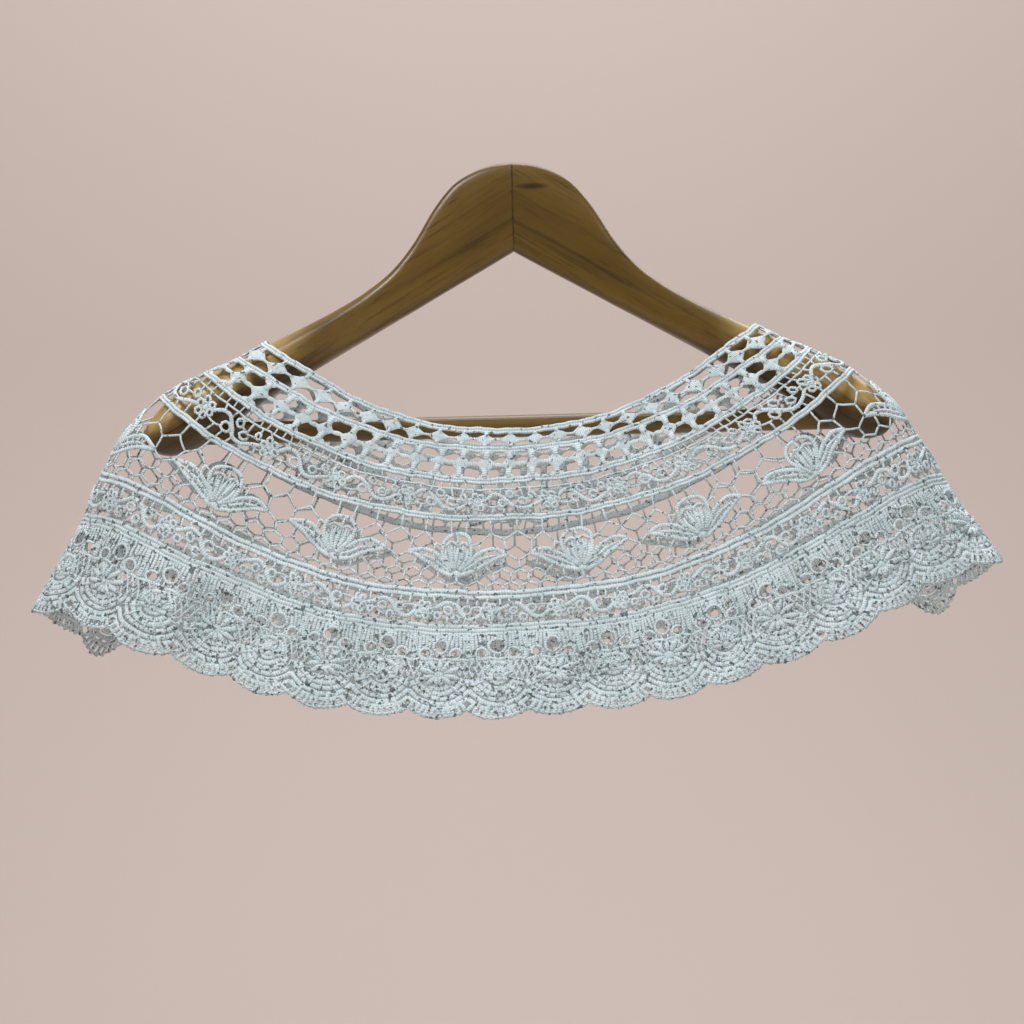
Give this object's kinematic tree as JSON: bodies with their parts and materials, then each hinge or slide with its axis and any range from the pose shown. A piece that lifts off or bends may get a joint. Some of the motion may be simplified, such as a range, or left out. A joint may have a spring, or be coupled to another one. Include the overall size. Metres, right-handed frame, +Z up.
{
  "type": "lace shawl on a wooden hanger",
  "caption": "Round closed lace cape shawl with a scalloped hem, hung flat over a contoured wooden clothes hanger with a round trouser bar.",
  "frame": {"origin": "top of the hanger, in the middle, where the stem of a hook goes in", "axes": "+Z up, -Y out of the front of the shawl, +X to the right as seen from the front"},
  "size_m": [0.569, 0.1806, 0.3254],
  "materials": {
    "lace_cotton": "cool white cotton guipure lace, matt",
    "varnished_wood": "mid brown hardwood, clear satin varnish"
  },
  "bodies": {
    "root": {"lace_front": "lace_cotton", "lace_back": "lace_cotton", "hanger_left": "varnished_wood", "hanger_right": "varnished_wood", "hanger_bar": "varnished_wood"}
  },
  "joints": []
}
